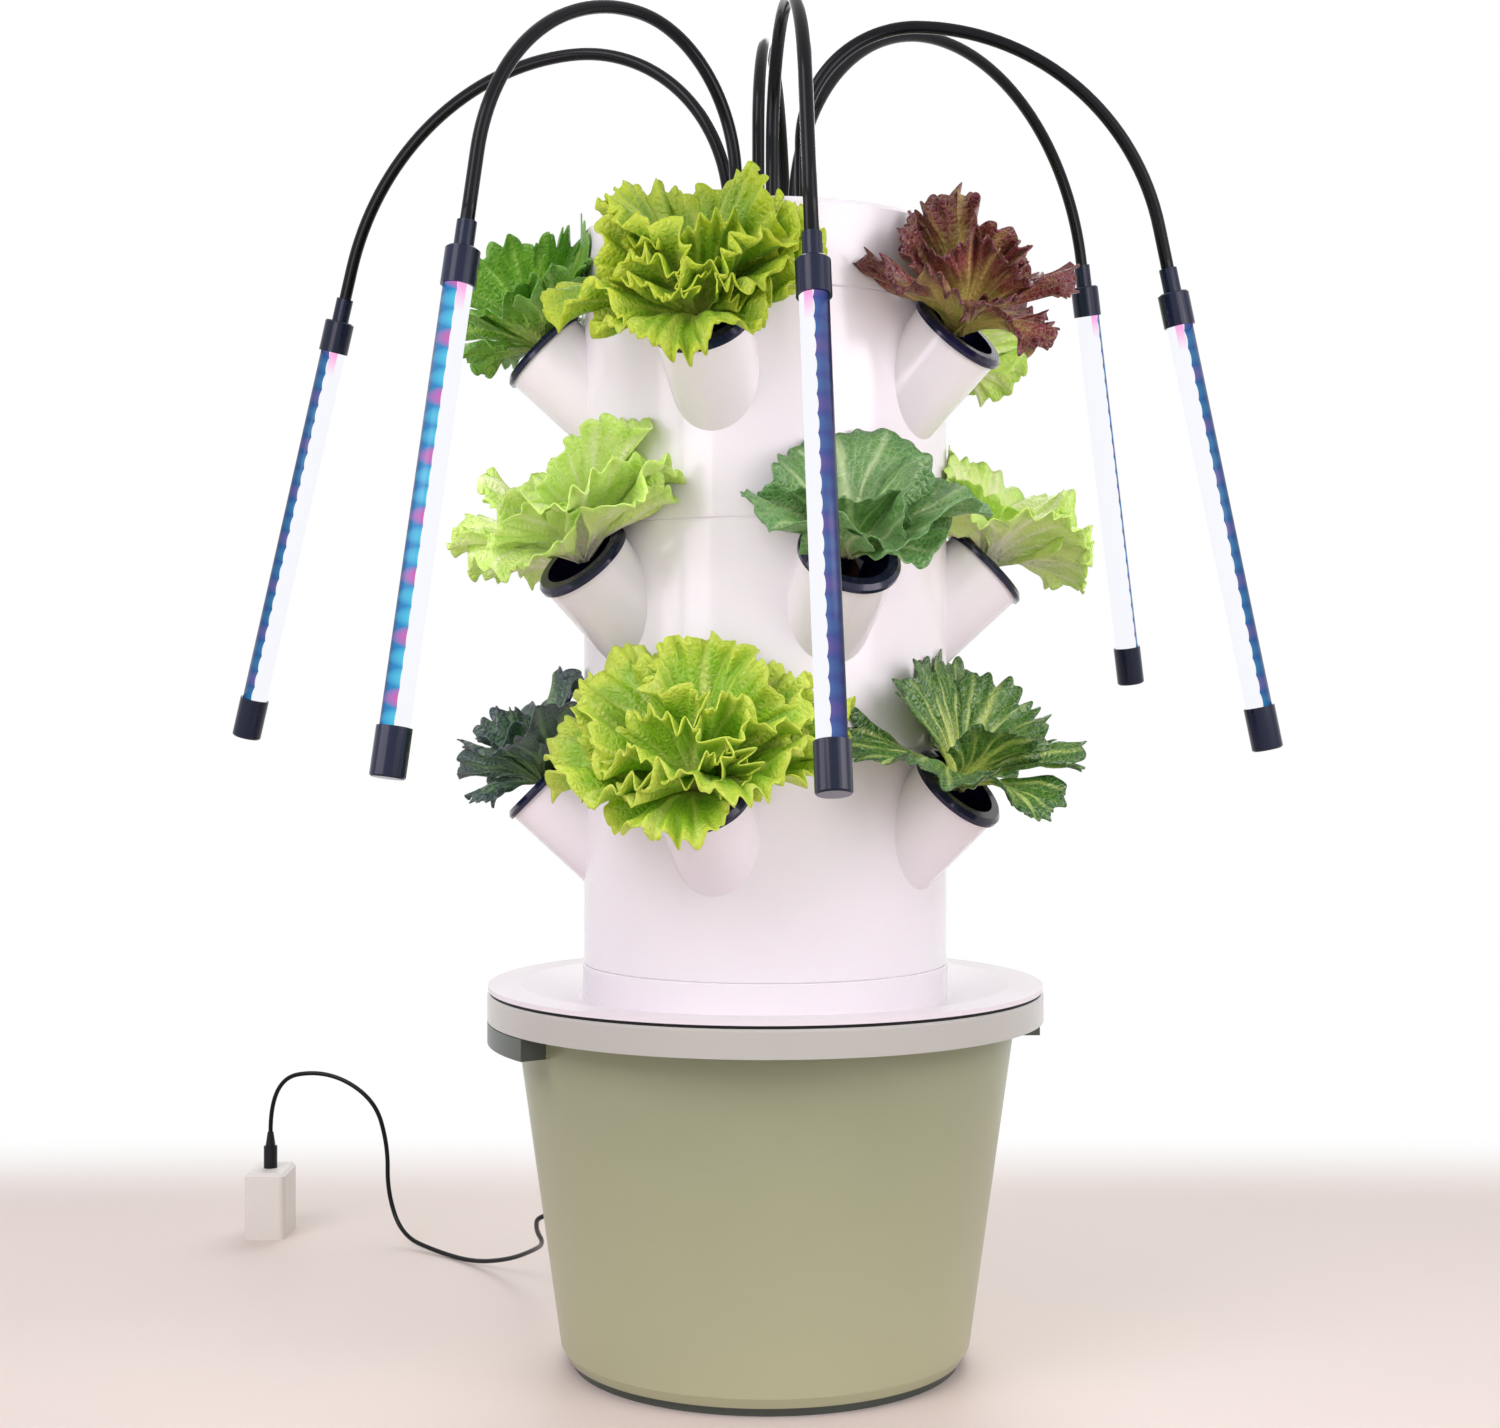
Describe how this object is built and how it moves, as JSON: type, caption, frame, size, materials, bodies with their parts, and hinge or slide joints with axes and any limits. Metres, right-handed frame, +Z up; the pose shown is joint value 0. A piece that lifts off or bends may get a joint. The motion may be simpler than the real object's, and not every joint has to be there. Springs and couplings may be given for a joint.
{
  "type": "vertical hydroponic system",
  "caption": "Tabletop hydroponic tower: a round water tank, stacked tiers of slanted planting pods with lettuce in net cups, and gooseneck grow lamps on the cap.",
  "frame": {"origin": "centre of the tank's flat underside", "axes": "+Z up along the tower, front of the picture towards -Y, +X to its right"},
  "size_m": [0.6035, 0.542, 0.722],
  "materials": {
    "tank_sage": "satin",
    "ivory": "gloss",
    "white_plastic": "satin",
    "adapter_white": "satin",
    "black_rubber": "matt",
    "black_plastic": "satin",
    "clear_tube": "translucent",
    "cup_navy": "gloss",
    "leaf_green": "matt",
    "neck_black": "gloss",
    "cap_black": "gloss",
    "sink_navy": "dark anodised",
    "lens_clear": "frosted clear",
    "board_white": "matt"
  },
  "bodies": {
    "tank": {"reservoir_tank": "tank_sage", "rim_ring": "ivory", "lid_seal": "black_rubber", "lead_gland": "black_rubber", "pump_body": "black_plastic", "pump_cover": "black_plastic", "riser_tube": "clear_tube", "power_lead": "black_rubber", "lead_plug": "black_plastic", "power_adapter": "adapter_white"},
    "lid": {"reservoir_lid": "ivory", "tower_base": "ivory"},
    "tier_bottom": {"planter_bottom": "ivory", "net_cups_bottom": "cup_navy", "lettuce_bottom": "leaf_green"},
    "tier_middle": {"planter_middle": "ivory", "net_cups_middle": "cup_navy", "lettuce_middle": "leaf_green"},
    "tier_top": {"planter_top": "ivory", "net_cups_top": "cup_navy", "lettuce_top": "leaf_green", "drip_plate": "white_plastic"},
    "cap": {"tower_cap": "ivory"},
    "impeller": {"pump_impeller": "white_plastic"},
    "arm_1": {"neck_lower_1": "neck_black"},
    "lamp_1": {"neck_upper_1": "neck_black", "lamp_end_caps_1": "cap_black", "lamp_heat_sink_1": "sink_navy", "lamp_lens_1": "lens_clear", "lamp_board_1": "board_white"},
    "arm_2": {"neck_lower_2": "neck_black"},
    "lamp_2": {"neck_upper_2": "neck_black", "lamp_end_caps_2": "cap_black", "lamp_heat_sink_2": "sink_navy", "lamp_lens_2": "lens_clear", "lamp_board_2": "board_white"},
    "arm_3": {"neck_lower_3": "neck_black"},
    "lamp_3": {"neck_upper_3": "neck_black", "lamp_end_caps_3": "cap_black", "lamp_heat_sink_3": "sink_navy", "lamp_lens_3": "lens_clear", "lamp_board_3": "board_white"},
    "arm_4": {"neck_lower_4": "neck_black"},
    "lamp_4": {"neck_upper_4": "neck_black", "lamp_end_caps_4": "cap_black", "lamp_heat_sink_4": "sink_navy", "lamp_lens_4": "lens_clear", "lamp_board_4": "board_white"},
    "arm_5": {"neck_lower_5": "neck_black"},
    "lamp_5": {"neck_upper_5": "neck_black", "lamp_end_caps_5": "cap_black", "lamp_heat_sink_5": "sink_navy", "lamp_lens_5": "lens_clear", "lamp_board_5": "board_white"},
    "arm_6": {"neck_lower_6": "neck_black"},
    "lamp_6": {"neck_upper_6": "neck_black", "lamp_end_caps_6": "cap_black", "lamp_heat_sink_6": "sink_navy", "lamp_lens_6": "lens_clear", "lamp_board_6": "board_white"}
  },
  "joints": [
    {"name": "lid_lift", "type": "slide", "parent": "tank", "child": "lid", "axis": [0, 0, 1], "range_m": [0, 0.12]},
    {"name": "tier_bottom_lift", "type": "slide", "parent": "lid", "child": "tier_bottom", "axis": [0, 0, 1], "range_m": [0, 0.06]},
    {"name": "tier_middle_lift", "type": "slide", "parent": "tier_bottom", "child": "tier_middle", "axis": [0, 0, 1], "range_m": [0, 0.06]},
    {"name": "tier_top_lift", "type": "slide", "parent": "tier_middle", "child": "tier_top", "axis": [0, 0, 1], "range_m": [0, 0.06]},
    {"name": "cap_lift", "type": "slide", "parent": "tier_top", "child": "cap", "axis": [0, 0, 1], "range_m": [0, 0.06]},
    {"name": "impeller_spin", "type": "hinge", "parent": "tank", "child": "impeller", "pos_m": [0, 0, 0.022], "axis": [0, 1, 0], "continuous": true},
    {"name": "arm_1_swivel", "type": "hinge", "parent": "cap", "child": "arm_1", "pos_m": [-0.01879, 0.00684, 0.59], "axis": [0, 0, 1], "range_deg": [-12, 12]},
    {"name": "lamp_1_bend", "type": "hinge", "parent": "arm_1", "child": "lamp_1", "pos_m": [-0.10574, 0.04339, 0.6962], "axis": [0.3875, 0.9219, 0], "range_deg": [-5, 35]},
    {"name": "arm_2_swivel", "type": "hinge", "parent": "cap", "child": "arm_2", "pos_m": [-0.01532, -0.01286, 0.59], "axis": [0, 0, 1], "range_deg": [-12, 12]},
    {"name": "lamp_2_bend", "type": "hinge", "parent": "arm_2", "child": "lamp_2", "pos_m": [-0.06379, -0.06707, 0.68684], "axis": [-0.7455, 0.6665, 0], "range_deg": [-5, 35]},
    {"name": "arm_3_swivel", "type": "hinge", "parent": "cap", "child": "arm_3", "pos_m": [0.00347, -0.0197, 0.59], "axis": [0, 0, 1], "range_deg": [-12, 12]},
    {"name": "lamp_3_bend", "type": "hinge", "parent": "arm_3", "child": "lamp_3", "pos_m": [0.00968, -0.07877, 0.68792], "axis": [-0.9945, -0.1045, 0], "range_deg": [0, 35]},
    {"name": "arm_4_swivel", "type": "hinge", "parent": "cap", "child": "arm_4", "pos_m": [0.01532, 0.01286, 0.59], "axis": [0, 0, 1], "range_deg": [-12, 12]},
    {"name": "lamp_4_bend", "type": "hinge", "parent": "arm_4", "child": "lamp_4", "pos_m": [0.09882, 0.09378, 0.71888], "axis": [0.6959, -0.7181, 0], "range_deg": [-5, 35]},
    {"name": "arm_5_swivel", "type": "hinge", "parent": "cap", "child": "arm_5", "pos_m": [0.01879, -0.00684, 0.59], "axis": [0, 0, 1], "range_deg": [-12, 12]},
    {"name": "lamp_5_bend", "type": "hinge", "parent": "arm_5", "child": "lamp_5", "pos_m": [0.08028, -0.00383, 0.69764], "axis": [0.0488, -0.9988, 0], "range_deg": [-5, 35]},
    {"name": "arm_6_swivel", "type": "hinge", "parent": "cap", "child": "arm_6", "pos_m": [-0.00347, 0.0197, 0.59], "axis": [0, 0, 1], "range_deg": [-12, 12]},
    {"name": "lamp_6_bend", "type": "hinge", "parent": "arm_6", "child": "lamp_6", "pos_m": [0.003, 0.08128, 0.71204], "axis": [0.9945, -0.1045, 0], "range_deg": [-3, 35]}
  ]
}
